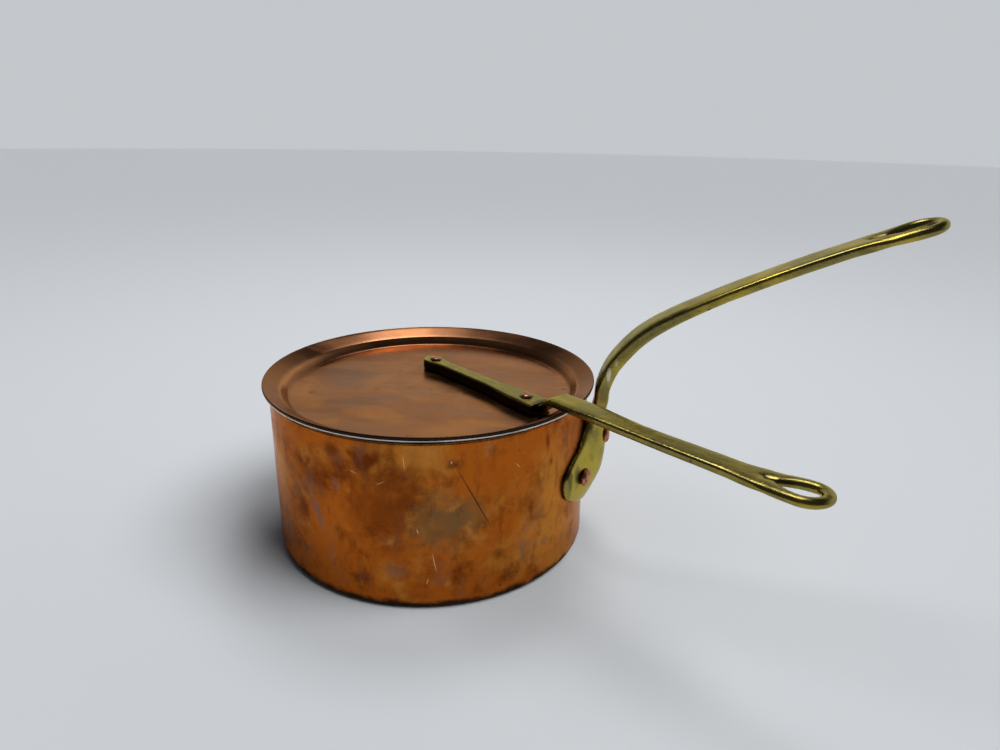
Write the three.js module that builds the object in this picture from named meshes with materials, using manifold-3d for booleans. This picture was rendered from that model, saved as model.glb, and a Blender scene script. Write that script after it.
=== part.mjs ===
// A lidded French saucepan: a straight-sided copper pan lined with tin, a cast brass handle held by
// three copper rivets, and a dished copper lid whose long brass handle is held by two.
// Millimetres, +Z up. The origin is the centre of the pan's base, and the pan handle points along +X.
import * as THREE from 'three';
import { mergeVertices } from 'three/addons/utils/BufferGeometryUtils.js';
import Module from 'manifold-3d';

const wasm = await Module();
wasm.setup();

// ---- Driving dimensions ----
const FIT = 0.3;                 // clearance between pieces that lie against each other
const FACETS = 72;               // facets round each turned piece

const PAN_RADIUS = 90;           // outside of the wall
const PAN_HEIGHT = 91;
const WALL = 1.9;                // copper sheet of the wall
const FLOOR = 2.4;               // copper sheet of the base
const BASE_FILLET = 4.5;         // outside rounding between wall and base
const TIN = 0.5;                 // thickness of the tin lining

const LID_SHEET = 1.3;           // copper sheet of the lid
const LID_OVERHANG = 3.3;        // how far the lid's edge reaches past the wall
const LID_FLANGE = 8.7;          // width of the sloping flange, edge to crease
const FLANGE_RISE = 4.6;         // how far the flange climbs over that width
const DISH_STEP = 4.1;           // width of the step from the crease down to the flat
const DISH_DEPTH = 4.7;          // depth of the flat below the crease
const LID_TIN = 0.4;

const HANDLE_WIDTH = 18;         // pan handle, across the grip
const HANDLE_THICK = 5.2;
const HANDLE_NECK_THICK = 8;     // through the neck and bend
const HANDLE_REACH = 258.5;      // from the pan's axis to the tip
const HANDLE_TIP_HEIGHT = 190;
const HANDLE_EYE_WIDTH = 26;     // across the loop at the tip
const HANDLE_HOLE = [26, 13];    // length and width of the hanging hole
const HANDLE_HOLE_RIM = 5.4;     // metal left past the hole
const ROOT_STAND_OFF = 8;        // from the wall to the middle of the upright neck
const PLATE_WIDTH = 86;          // riveted foot of the handle, measured round the wall
const PLATE_TOP = 80;
const PLATE_BOTTOM = 29;
const PLATE_MIDDLE = 52;         // height of its thickest part
const PLATE_EDGE = 2.2;          // thickness at the foot's edge
const PLATE_SWELL = 9;           // extra thickness at its middle
const SWELL_REACH = 30;          // how far round the wall the swelling fades

const RIVET_SHANK = 2.4;         // radii and heights of the pan handle's rivets
const RIVET_HEAD = 4.9;
const RIVET_DOME = 3;
const RIVET_TAIL = 1.6;
const TOP_RIVET_SEAT = 0.8;      // how deep each head is let into the foot
const LOW_RIVET_SEAT = 0.6;
const TOP_RIVET_HEIGHT = 64.5;
const LOW_RIVET_HEIGHT = 49.5;
const LOW_RIVET_ANGLE = 16;      // degrees either side of the handle

const LID_HANDLE_ANGLE = -40;    // degrees from the pan handle, seen from above
const LID_HANDLE_OFFSET = 19.2;  // its centre line passes this far from the pan's axis
const STRAP_START = -30;         // along the lid handle, from its nearest point to the axis
const STRAP_END = 71;
const STRAP_THICK = 6;
const STRAP_WIDTH = 15;          // at the square outer end
const STRAP_WAIST = 8;
const STRAP_PAD = 12;            // round pad at the inner end
const BAR_TIP = 225;
const BAR_WIDTH = 12.5;
const BAR_THICK = 4;
const HEEL_WIDTH = 15.5;
const NECK_WIDTH = 7;
const BAR_EYE_WIDTH = 21;
const BAR_HOLE = [18, 10.5];
const BAR_HOLE_RIM = 4.8;
const LID_RIVETS = [-21.5, 59.5];  // places along the lid handle
const LID_RIVET_SHANK = 1.9;
const LID_RIVET_HEAD = 3.2;
const LID_RIVET_DOME = 1.8;
const LID_RIVET_TAIL = 1.2;

// ---- Materials ----
const copper = () => new THREE.MeshStandardMaterial({ color: 0xa9602f, metalness: 0.9, roughness: 0.42 });
const lidCopper = () => new THREE.MeshStandardMaterial({ color: 0x8f5634, metalness: 0.9, roughness: 0.38 });
const brass = () => new THREE.MeshStandardMaterial({ color: 0x8a7a35, metalness: 0.9, roughness: 0.4 });
const tin = () => new THREE.MeshStandardMaterial({ color: 0xb4b4ae, metalness: 0.8, roughness: 0.5 });
const rivetCopper = () => new THREE.MeshStandardMaterial({ color: 0x9a5436, metalness: 0.9, roughness: 0.4 });

// ---- Helpers ----
// A closed geometry as a solid that can be joined and cut.
function solid(geometry) {
  const bare = geometry.clone();
  bare.deleteAttribute('normal');
  bare.deleteAttribute('uv');
  const merged = mergeVertices(bare, 1e-4);
  const index = merged.index.array;
  const triangles = [];
  for (let i = 0; i < index.length; i += 3) {
    const [a, b, c] = [index[i], index[i + 1], index[i + 2]];
    if (a !== b && b !== c && c !== a) triangles.push(a, b, c);
  }
  return new wasm.Manifold(new wasm.Mesh({
    numProp: 3,
    vertProperties: new Float32Array(merged.attributes.position.array),
    triVerts: new Uint32Array(triangles),
  }));
}

// A finished solid as a named mesh.
function piece(name, body, material) {
  const { vertProperties, triVerts } = body.getMesh();
  const geometry = new THREE.BufferGeometry();
  geometry.setAttribute('position', new THREE.BufferAttribute(new Float32Array(vertProperties), 3));
  geometry.setIndex(new THREE.BufferAttribute(new Uint32Array(triVerts), 1));
  geometry.computeVertexNormals();
  const mesh = new THREE.Mesh(geometry, material);
  mesh.name = name;
  return mesh;
}

// A shape turned about Z from [radius, height] points that run up the outside and down the inside.
function turned(points, facets = FACETS) {
  const geometry = new THREE.LatheGeometry(points.map(([r, z]) => new THREE.Vector2(r, z)), facets);
  return geometry.rotateX(Math.PI / 2);
}

// A round bar about Z between two levels, used for cutting holes, seats and the wall's room.
function drill(radius, from, to, facets) {
  return turned([[0, from], [radius, from], [radius, to], [0, to]], facets);
}

// Points of a quarter-round from one angle to another, in degrees.
function arc(centreR, centreZ, radius, from, to, steps) {
  return Array.from({ length: steps + 1 }, (_, i) => {
    const a = THREE.MathUtils.degToRad(from + (to - from) * i / steps);
    return [centreR + radius * Math.cos(a), centreZ + radius * Math.sin(a)];
  });
}

// A value read along a smooth curve through [place, value] points.
function along(points) {
  return (s) => {
    const last = points.length - 1;
    if (s <= points[0][0]) return points[0][1];
    if (s >= points[last][0]) return points[last][1];
    const k = points.findIndex(([place]) => place > s) - 1;
    const t = (s - points[k][0]) / (points[k + 1][0] - points[k][0]);
    return THREE.MathUtils.lerp(points[k][1], points[k + 1][1], t * t * (3 - 2 * t));
  };
}

// The unit section of a bar: 1 wide and 1 thick with softened corners, its top at y = 0.
const barSection = new THREE.Shape(Array.from({ length: 12 }, (_, i) => {
  const a = (i + 0.5) / 12 * 2 * Math.PI;
  const soft = (v, power) => Math.sign(v) * Math.abs(v) ** power;
  return new THREE.Vector2(0.52 * soft(Math.cos(a), 0.35), 0.52 * soft(Math.sin(a), 0.55) - 0.5);
}));

// A bar lofted through stations, each with a middle, a side and an up direction, a width and a thickness.
function loft(stations) {
  const steps = stations.length - 1;
  const geometry = new THREE.ExtrudeGeometry(barSection, { depth: 1, steps, bevelEnabled: false });
  const place = geometry.attributes.position;
  for (let i = 0; i < place.count; i += 1) {
    const { middle, side, up, width, thick } = stations[Math.round(place.getZ(i) * steps)];
    const point = middle.clone()
      .addScaledVector(side, place.getX(i) * width)
      .addScaledVector(up, (place.getY(i) + 0.5) * thick);
    place.setXYZ(i, point.x, point.y, point.z);
  }
  return solid(geometry);
}

// A pointed hole with a round outer end, lying along +X, its outer end at x = 0.
function eyeCutter([length, width], depth) {
  const round = width / 2;
  const shape = new THREE.Shape();
  shape.moveTo(-length, 0);
  shape.quadraticCurveTo(-length * 0.62, -round, -round, -round);
  shape.absarc(-round, 0, round, -Math.PI / 2, Math.PI / 2, false);
  shape.quadraticCurveTo(-length * 0.62, round, -length, 0);
  const geometry = new THREE.ExtrudeGeometry(shape, { depth, bevelEnabled: false, curveSegments: 8 });
  return geometry.translate(0, 0, -depth / 2);
}

// ---- Pan shell and its lining ----
const inner = PAN_RADIUS - WALL;
const shellProfile = [
  [0, 0],
  ...arc(PAN_RADIUS - BASE_FILLET, BASE_FILLET, BASE_FILLET, -90, 0, 4),
  [PAN_RADIUS, PAN_HEIGHT],
  [inner, PAN_HEIGHT],
  ...arc(inner - BASE_FILLET + WALL, FLOOR + BASE_FILLET - WALL, BASE_FILLET - WALL, 0, -90, 3),
  [0, FLOOR],
];
const liningOut = inner - FIT;
const liningIn = liningOut - TIN;
const liningFloor = FLOOR + FIT;
const liningRound = BASE_FILLET - WALL;
const liningTop = PAN_HEIGHT - 0.4;
const liningProfile = [
  [0, liningFloor],
  ...arc(liningOut - liningRound, liningFloor + liningRound, liningRound, -90, 0, 3),
  [liningOut, liningTop],
  [liningIn, liningTop],
  ...arc(liningIn - liningRound, liningFloor + TIN + liningRound, liningRound, 0, -90, 3),
  [0, liningFloor + TIN],
];

// ---- Pan handle rivets: a domed head outside, a shank through the wall, a low head inside ----
const plateBack = PAN_RADIUS + FIT;
const RIVET_FACETS = 20;
const outside = PAN_RADIUS + 30;  // clear of everything on the wall
// Thickness of the handle's foot at a place s round the wall, where q is 0 at the foot's middle and 1 at its edge.
const swellAt = (s, q) => PLATE_EDGE + PLATE_SWELL * Math.exp(-((s / SWELL_REACH) ** 2)) * (1 - q * q);
const rivetPlaces = [
  { name: 'pan_handle_rivet_top', angle: 0, height: TOP_RIVET_HEIGHT, seat: PLATE_EDGE + PLATE_SWELL - TOP_RIVET_SEAT },
  { name: 'pan_handle_rivet_left', angle: LOW_RIVET_ANGLE, height: LOW_RIVET_HEIGHT },
  { name: 'pan_handle_rivet_right', angle: -LOW_RIVET_ANGLE, height: LOW_RIVET_HEIGHT },
];
for (const place of rivetPlaces) {
  const s = THREE.MathUtils.degToRad(place.angle) * PAN_RADIUS;
  place.seat ??= swellAt(s, Math.abs(s) / (PLATE_WIDTH / 2)) - LOW_RIVET_SEAT;
}
// Turns something made along +Z so that it points out of the wall at the rivet's place.
function atRivet(geometry, { angle, height }) {
  return geometry
    .rotateY(Math.PI / 2)
    .translate(0, 0, height)
    .rotateZ(THREE.MathUtils.degToRad(angle));
}
// Tail, shank and domed head in one outline, from the tail up.
function rivetProfile({ tailFace, seatFace, shank, head, dome, tail }) {
  const skirt = dome * 0.2;
  return [
    [0, tailFace - tail],
    [head * 0.7, tailFace - tail * 0.8],
    [head, tailFace],
    [shank, tailFace],
    [shank, seatFace],
    [head, seatFace],
    [head, seatFace + skirt],
    ...[Math.PI / 6, Math.PI / 3].map((a) => [head * Math.cos(a), seatFace + skirt + (dome - skirt) * Math.sin(a)]),
    [0, seatFace + dome],
  ];
}
const tailFace = Math.sqrt(liningIn ** 2 - RIVET_HEAD ** 2) - FIT;
const panRivets = rivetPlaces.map((place) => {
  const profile = rivetProfile({
    tailFace,
    seatFace: plateBack + place.seat + FIT,
    shank: RIVET_SHANK,
    head: RIVET_HEAD,
    dome: RIVET_DOME,
    tail: RIVET_TAIL,
  });
  return piece(place.name, solid(atRivet(turned(profile, RIVET_FACETS), place)), rivetCopper());
});
// The hole each shank passes through, and the flat seat under each head.
const rivetHoles = rivetPlaces.map((place) => solid(atRivet(
  drill(RIVET_SHANK + FIT, PAN_RADIUS / 2, outside, RIVET_FACETS), place,
)));
const rivetSeats = rivetPlaces.map((place) => solid(atRivet(
  drill(RIVET_HEAD + FIT, plateBack + place.seat, outside, RIVET_FACETS), place,
)));

const drilled = (body) => rivetHoles.reduce((left, hole) => left.subtract(hole), body);
const panShell = piece('pan_shell', drilled(solid(turned(shellProfile))), copper());
const panLining = piece('pan_tin_lining', drilled(solid(turned(liningProfile))), tin());

// ---- Pan handle: riveted foot, upright neck, swept grip, and the loop it hangs by ----
const root = PAN_RADIUS + ROOT_STAND_OFF;
const grip = new THREE.CatmullRomCurve3([
  [root - 3, 58], [root - 0.5, 72], [root - 0.2, 86], [root + 0.8, 96], [root + 6.6, 109.4],
  [root + 19.4, 124.6], [root + 37.7, 137.2], [root + 70, 153.8],
  [root + 114, HANDLE_TIP_HEIGHT - 17], [HANDLE_REACH, HANDLE_TIP_HEIGHT],
].map(([x, z]) => new THREE.Vector3(x, 0, z)));
const gripLength = grip.getLength();
const eyeRound = HANDLE_EYE_WIDTH / 2;
const eyeMiddle = gripLength - eyeRound;
const gripWidth = along([
  [0, HANDLE_WIDTH + 2], [28, HANDLE_WIDTH - 1], [70, HANDLE_WIDTH], [eyeMiddle - 36, HANDLE_WIDTH],
  [eyeMiddle, HANDLE_EYE_WIDTH],
]);
const gripThick = along([
  [0, HANDLE_THICK], [28, HANDLE_NECK_THICK], [52, HANDLE_NECK_THICK], [125, HANDLE_THICK + 0.4],
  [eyeMiddle, HANDLE_THICK],
]);
const across = new THREE.Vector3(0, 1, 0);
const gripPlaces = [
  ...Array.from({ length: 34 }, (_, i) => eyeMiddle * i / 34),
  ...Array.from({ length: 8 }, (_, i) => eyeMiddle + eyeRound * Math.sin(i / 7.4 * Math.PI / 2)),
];
const panHandleBar = loft(gripPlaces.map((s) => {
  const middle = grip.getPointAt(s / gripLength);
  const tangent = grip.getTangentAt(s / gripLength);
  const past = Math.max(s - eyeMiddle, 0) / eyeRound;
  return {
    middle,
    side: across,
    up: tangent.clone().cross(across),
    width: gripWidth(s) * Math.sqrt(1 - past * past),
    thick: gripThick(s),
  };
}));

// The foot: a pillow-shaped plate, its outline drawn as it would lie unrolled from the wall.
const half = PLATE_WIDTH / 2;
const footSide = [
  [0.14, PLATE_TOP - 1], [0.22, PLATE_TOP - 6], [0.33, 70], [0.53, 65], [0.76, 61], [0.95, 55.5],
  [1, 48.5], [0.9, 40.5], [0.63, 34], [0.3, PLATE_BOTTOM + 1],
];
const footOutline = new THREE.CatmullRomCurve3([
  [0, PLATE_TOP], ...footSide.map(([x, z]) => [x * half, z]), [0, PLATE_BOTTOM],
  ...footSide.map(([x, z]) => [-x * half, z]).reverse(),
].map(([s, z]) => new THREE.Vector3(s, z - PLATE_MIDDLE, 0)), true);
const FOOT_ROUND = 56;
const FOOT_RINGS = 18;
const foot = new THREE.SphereGeometry(1, FOOT_ROUND, FOOT_RINGS);
const footPlace = foot.attributes.position;
for (let i = 0; i < footPlace.count; i += 1) {
  const column = i % (FOOT_ROUND + 1);
  const row = Math.floor(i / (FOOT_ROUND + 1));
  const q = Math.sin(row / FOOT_RINGS * Math.PI);
  const edge = footOutline.getPoint(((FOOT_ROUND - column) % FOOT_ROUND) / FOOT_ROUND);
  const s = edge.x * q;
  const front = row <= FOOT_RINGS / 2;
  const radius = front ? plateBack + swellAt(s, q) : plateBack - 3;
  const angle = s / PAN_RADIUS;
  footPlace.setXYZ(i, radius * Math.cos(angle), radius * Math.sin(angle), PLATE_MIDDLE + edge.y * q);
}
const wallRoom = solid(drill(plateBack, 0, PAN_HEIGHT));
const holeEnd = grip.getPointAt((gripLength - HANDLE_HOLE_RIM) / gripLength);
const holeTilt = grip.getTangentAt(eyeMiddle / gripLength);
const hangingHole = solid(eyeCutter(HANDLE_HOLE, 30)
  .rotateY(-Math.atan2(holeTilt.z, holeTilt.x))
  .translate(holeEnd.x, 0, holeEnd.z));
let panHandleBody = solid(foot).add(panHandleBar).subtract(wallRoom).subtract(hangingHole);
panHandleBody = rivetSeats.reduce((left, seat) => left.subtract(seat), drilled(panHandleBody));
const panHandle = piece('pan_handle', panHandleBody, brass());

// ---- Lid: a dished disc whose sloping flange rests on the wall's inner edge ----
const lidEdge = PAN_RADIUS + LID_OVERHANG;
const crease = lidEdge - LID_FLANGE;
const flat = crease - DISH_STEP;
const slope = FLANGE_RISE / LID_FLANGE;
const sheetDrop = LID_SHEET * Math.hypot(1, slope);
const lidTinDrop = sheetDrop + FIT;
// The flange's tinned underside clears the wall's inner edge by the fit.
const creaseTop = PAN_HEIGHT + FIT + LID_TIN * Math.hypot(1, slope) + lidTinDrop - (inner - crease) * slope;
const flatTop = creaseTop - DISH_DEPTH;
const edgeTop = creaseTop + FLANGE_RISE;
// A line parallel to the lid's upper face, a given drop below it, from the middle out to a radius.
function lidLine(drop, outer) {
  return [
    [0, flatTop - drop],
    [flat + drop * 0.15 - 1.2, flatTop - drop],
    [flat + 1, flatTop - drop + 0.8],
    [flat + 2 + drop * 0.2, creaseTop - drop - 1.8],
    [crease - 0.6 + drop * 0.1, creaseTop - drop - 0.5],
    [crease + 0.8, creaseTop - drop + 0.35],
    [outer, edgeTop - drop - (lidEdge - outer) * slope],
  ];
}
const LID_RIVET_FACETS = 16;
const lidRivetHoles = LID_RIVETS.map((x) => drill(
  LID_RIVET_SHANK + FIT, flatTop - 30, flatTop + 30, LID_RIVET_FACETS).translate(x, 0, 0));

// Places something made along the lid handle onto the lid.
const lidTurn = THREE.MathUtils.degToRad(LID_HANDLE_ANGLE);
const onLid = (geometry) => geometry.translate(0, LID_HANDLE_OFFSET, 0).rotateZ(lidTurn);
const lidHoles = lidRivetHoles.map((hole) => solid(onLid(hole.clone())));
const lidDrilled = (body) => lidHoles.reduce((left, hole) => left.subtract(hole), body);
const lidDisc = piece('lid_disc', lidDrilled(solid(turned([
  ...lidLine(sheetDrop, lidEdge), ...lidLine(0, lidEdge).reverse()]))), lidCopper());
const lidTinEdge = lidEdge - 0.6;
const lidLining = piece('lid_tin_lining', lidDrilled(solid(turned([
  ...lidLine(lidTinDrop + LID_TIN, lidTinEdge), ...lidLine(lidTinDrop, lidTinEdge).reverse()]))), tin());

// ---- Lid handle: a riveted strap on the flat, a neck over the flange, a long bar and its loop ----
const strapTop = flatTop + FIT + STRAP_THICK;
const barUnder = edgeTop + FIT;
const barTop = barUnder + BAR_THICK;
const level = (places, top, width, thick) => places.map((x) => ({
  middle: new THREE.Vector3(x, 0, top(x) - thick(x) / 2),
  side: across,
  up: new THREE.Vector3(0, 0, 1),
  width: width(x),
  thick: thick(x),
}));
const padMiddle = STRAP_START + STRAP_PAD / 2;
const strapOutline = along([
  [padMiddle, STRAP_PAD], [padMiddle + 12, STRAP_WAIST], [padMiddle + 52, STRAP_WAIST + 0.6],
  [STRAP_END - 14, STRAP_WIDTH - 1], [STRAP_END, STRAP_WIDTH],
]);
const strapPlaces = [
  ...Array.from({ length: 6 }, (_, i) => padMiddle - STRAP_PAD / 2 * Math.cos((i + 0.35) / 6 * Math.PI / 2)),
  ...Array.from({ length: 15 }, (_, i) => padMiddle + (STRAP_END - padMiddle) * i / 14),
];
const strapWidth = (x) => {
  const past = Math.max(padMiddle - x, 0) / (STRAP_PAD / 2);
  return strapOutline(x) * Math.sqrt(1 - past * past);
};
const strap = loft(level(strapPlaces, () => strapTop, strapWidth, () => STRAP_THICK));

const flangeCross = Math.sqrt(lidEdge ** 2 - LID_HANDLE_OFFSET ** 2);
const neckStart = STRAP_END - 4;
const barEyeRound = BAR_EYE_WIDTH / 2;
const barEyeMiddle = BAR_TIP - barEyeRound;
const barRise = along([
  [neckStart, strapTop - 0.4], [STRAP_END + 2, strapTop], [flangeCross - 5, barTop],
  [flangeCross + 12, barTop], [flangeCross + 45, barTop - 0.6], [barEyeMiddle - 30, barTop],
  [BAR_TIP, barTop + 2.4],
]);
const barDepth = along([
  [neckStart, STRAP_THICK - 1.4], [STRAP_END + 2, STRAP_THICK - 1.4], [flangeCross - 5, BAR_THICK],
  [BAR_TIP, BAR_THICK],
]);
const barOutline = along([
  [neckStart, NECK_WIDTH], [STRAP_END + 3, NECK_WIDTH], [flangeCross + 6, HEEL_WIDTH],
  [flangeCross + 44, BAR_WIDTH], [barEyeMiddle - 34, BAR_WIDTH + 1], [barEyeMiddle, BAR_EYE_WIDTH],
]);
const barPlaces = [
  ...Array.from({ length: 12 }, (_, i) => neckStart + (flangeCross + 6 - neckStart) * i / 12),
  ...Array.from({ length: 20 }, (_, i) => flangeCross + 6 + (barEyeMiddle - flangeCross - 6) * i / 20),
  ...Array.from({ length: 8 }, (_, i) => barEyeMiddle + barEyeRound * Math.sin(i / 7.4 * Math.PI / 2)),
];
const barWidth = (x) => {
  const past = Math.max(x - barEyeMiddle, 0) / barEyeRound;
  return barOutline(x) * Math.sqrt(1 - past * past);
};
const bar = loft(level(barPlaces, barRise, barWidth, barDepth));
const barHole = solid(eyeCutter(BAR_HOLE, 30)
  .translate(BAR_TIP - BAR_HOLE_RIM, 0, barTop));

const lidRivetSeat = strapTop - 0.5;
const lidSeats = LID_RIVETS.map((x) => solid(drill(
  LID_RIVET_HEAD + FIT, lidRivetSeat, strapTop + LID_RIVET_DOME, LID_RIVET_FACETS).translate(x, 0, 0)));
const straightHoles = lidRivetHoles.map(solid);
const lidHandleBody = [barHole, ...lidSeats, ...straightHoles]
  .reduce((left, cut) => left.subtract(cut), strap.add(bar));

// The lid's own group carries everything that lifts off with it.
const lid = new THREE.Group();
const lidHandleGroup = new THREE.Group();
lidHandleGroup.rotation.z = lidTurn;
const lidHandleMesh = piece('lid_handle', lidHandleBody, brass());
lidHandleMesh.position.set(0, LID_HANDLE_OFFSET, 0);
lidHandleGroup.add(lidHandleMesh);
const lidUnder = flatTop - lidTinDrop - LID_TIN;
LID_RIVETS.forEach((x, i) => {
  const profile = rivetProfile({
    tailFace: lidUnder - FIT,
    seatFace: lidRivetSeat + FIT,
    shank: LID_RIVET_SHANK,
    head: LID_RIVET_HEAD,
    dome: LID_RIVET_DOME,
    tail: LID_RIVET_TAIL,
  });
  const name = ['lid_rivet_inner', 'lid_rivet_outer'][i];
  const rivet = piece(name, solid(turned(profile, LID_RIVET_FACETS)), rivetCopper());
  rivet.position.set(x, LID_HANDLE_OFFSET, 0);
  lidHandleGroup.add(rivet);
});
lid.add(lidDisc, lidLining, lidHandleGroup);

const saucepan = new THREE.Group();
saucepan.add(panShell, panLining, panHandle, ...panRivets, lid);

export default saucepan;
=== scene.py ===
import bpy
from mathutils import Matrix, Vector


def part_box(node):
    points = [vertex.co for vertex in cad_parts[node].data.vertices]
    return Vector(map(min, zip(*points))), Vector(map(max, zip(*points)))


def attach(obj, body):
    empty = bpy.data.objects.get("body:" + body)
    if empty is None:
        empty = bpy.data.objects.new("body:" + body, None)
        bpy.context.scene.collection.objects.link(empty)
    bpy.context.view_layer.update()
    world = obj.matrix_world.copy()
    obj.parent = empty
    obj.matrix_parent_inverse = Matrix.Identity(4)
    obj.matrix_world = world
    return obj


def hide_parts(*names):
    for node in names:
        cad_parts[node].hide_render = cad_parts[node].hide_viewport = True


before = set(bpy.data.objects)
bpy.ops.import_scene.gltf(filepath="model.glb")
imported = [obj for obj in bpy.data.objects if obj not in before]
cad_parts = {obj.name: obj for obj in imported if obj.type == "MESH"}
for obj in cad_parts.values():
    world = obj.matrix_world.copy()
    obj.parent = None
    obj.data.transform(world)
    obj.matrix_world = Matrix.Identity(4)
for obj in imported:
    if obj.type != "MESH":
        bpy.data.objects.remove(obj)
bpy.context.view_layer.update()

import math

import bmesh
import bpy
import numpy as np
from mathutils import Matrix, Vector, noise


# ---- The pan: a straight-sided body raised from one sheet of copper ----
# The wall stands square on a flat base with a small rounded corner, and its lip is filed round.
# Years of polishing have left it slightly uneven, clouded brown and plum, scratched and stained by heat.
MM = 0.001
pan_low, pan_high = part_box("pan_shell")
PAN_RADIUS = (pan_high.x - pan_low.x) / 2 / MM
PAN_HEIGHT = pan_high.z / MM
WALL = 1.9
FLOOR = 2.4
BASE_ROUND = 4.5
LIP_ROUND = 0.8
WAVE_SIZE = 34                       # the wall's slow waves and the smaller marks of the hammer
WAVE_DEPTH = 0.16
HAMMER_SIZE = 12
HAMMER_DEPTH = 0.03
STEADY_HEIGHT = 12                   # height over which they grow from nothing


def rounded(corners, step=2.5):
    """An outline in millimetres through corners (x, y, rounding), with no two points over a step apart."""
    outline = []
    for k, (x, y, rounding) in enumerate(corners):
        here = Vector((x, y))
        if not rounding or k in (0, len(corners) - 1):
            outline.append(here)
            continue
        before = (Vector(corners[k - 1][:2]) - here).normalized()
        after = (Vector(corners[k + 1][:2]) - here).normalized()
        half = before.angle(after) / 2
        centre = here + (before + after).normalized() * rounding / math.sin(half)
        start = here + before * rounding / math.tan(half) - centre
        turn = start.angle_signed(here + after * rounding / math.tan(half) - centre)
        steps = max(4, round(abs(turn) * rounding / 0.5))
        outline += [centre + Matrix.Rotation(-turn * i / steps, 2) @ start for i in range(steps + 1)]
    filled = []
    for a, b in zip(outline, outline[1:]):
        parts = max(1, math.ceil((b - a).length / step))
        filled += [a.lerp(b, i / parts) for i in range(parts)]
    return [(max(p.x, 0), p.y) for p in filled + [outline[-1]]]


def turned(outline, around=240):
    """A closed body turned from an outline of (radius, height) that starts and ends on the turning axis."""
    made = bmesh.new()
    rings = []
    for radius, height in outline:
        spokes = around if radius > 0.01 else 1
        rings.append([
            made.verts.new((
                radius * math.cos(2 * math.pi * i / spokes) * MM,
                radius * math.sin(2 * math.pi * i / spokes) * MM,
                height * MM,
            ))
            for i in range(spokes)
        ])
    for lower, upper in zip(rings, rings[1:]):
        for i in range(around if len(lower) + len(upper) > 2 else 0):
            j = (i + 1) % around
            corners = [(lower, i), (lower, j), (upper, j), (upper, i)]
            made.faces.new(dict.fromkeys(ring[k % len(ring)] for ring, k in corners))
    return made


def finished(made, name, material, sharp=50):
    """The mesh as a piece of the object, smooth except where its faces meet at over so many degrees."""
    bmesh.ops.recalc_face_normals(made, faces=made.faces)
    mesh = bpy.data.meshes.new(name)
    made.to_mesh(mesh)
    made.free()
    mesh.shade_smooth()
    mesh.set_sharp_from_angle(angle=math.radians(sharp))
    mesh.materials.append(material)
    piece = bpy.data.objects.new(name, mesh)
    bpy.context.scene.collection.objects.link(piece)
    return piece


def metal(name, edge=(0.9, 0.72, 0.6)):
    """A bare metal, its tint seen edge on, and the place on the piece that its patina is drawn by."""
    material = bpy.data.materials.new(name)
    material.use_nodes = True
    tree = material.node_tree
    shader = tree.nodes["Principled BSDF"]
    shader.inputs["Metallic"].default_value = 1.0
    shader.inputs["Specular Tint"].default_value = (*edge, 1)
    place = tree.nodes.new("ShaderNodeTexCoord").outputs["Object"]
    return material, tree, shader, place


def wired(tree, kind, sockets, **settings):
    """A node with its settings, and each socket either joined to another node's output or given a value."""
    made = tree.nodes.new(kind)
    for name, value in settings.items():
        setattr(made, name, value)
    for socket, value in sockets.items():
        if isinstance(value, bpy.types.NodeSocket):
            tree.links.new(value, made.inputs[socket])
        else:
            made.inputs[socket].default_value = value
    return made


def squeezed(tree, place, turn=(0, 0, 0), stretch=(1, 1, 1)):
    """The place, turned and stretched, so that what is drawn with it comes out as streaks."""
    return wired(tree, "ShaderNodeMapping", {
        "Vector": place, "Rotation": [math.radians(a) for a in turn], "Scale": stretch}).outputs["Vector"]


def clouds(tree, place, size, low, high, detail=4.0, warp=0.0):
    """How much of each spot a cloudy pattern covers, 0 to 1. Size is that of its clouds, in millimetres."""
    cloud = wired(tree, "ShaderNodeTexNoise", {
        "Vector": place, "Scale": 1 / (size * MM), "Detail": detail, "Roughness": 0.6, "Distortion": warp})
    return between(tree, cloud.outputs["Fac"], low, high)


def between(tree, value, low, high):
    """0 where value is at low, 1 where it is at high, and smooth between."""
    return wired(tree, "ShaderNodeMapRange", {
        "Value": value, "From Min": low, "From Max": high}, interpolation_type="SMOOTHSTEP").outputs["Result"]


def times(tree, a, b):
    return wired(tree, "ShaderNodeMath", {0: a, 1: b}, operation="MULTIPLY").outputs["Value"]


def painted(tree, under, over, cover):
    """One colour laid over another where cover is 1."""
    under, over = [(*c, 1) if isinstance(c, tuple) else c for c in (under, over)]
    return wired(tree, "ShaderNodeMixRGB", {"Fac": cover, "Color1": under, "Color2": over}).outputs["Color"]


def spot(tree, place, centre, reach, turn=0.0, soft=0.5, ragged=0.0):
    """1 inside a blot at centre that reaches so far each way, in millimetres. Ragged breaks up its edge."""
    local = wired(tree, "ShaderNodeMapping", {
        "Vector": place, "Location": [c * MM for c in centre],
        "Rotation": turn if isinstance(turn, tuple) else (0, 0, turn),
        "Scale": [r * MM for r in reach]}, vector_type="TEXTURE").outputs["Vector"]
    away = wired(tree, "ShaderNodeVectorMath", {0: local}, operation="LENGTH").outputs["Value"]
    if ragged:
        frayed = wired(tree, "ShaderNodeTexNoise", {"Vector": place, "Scale": 160.0, "Detail": 5.0})
        shift = wired(tree, "ShaderNodeMath", {0: frayed.outputs["Fac"], 1: 0.5}, operation="SUBTRACT")
        away = wired(tree, "ShaderNodeMath", {
            0: shift.outputs["Value"], 1: ragged, 2: away}, operation="MULTIPLY_ADD").outputs["Value"]
    return between(tree, away, 1.0, 1.0 - soft)


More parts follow.
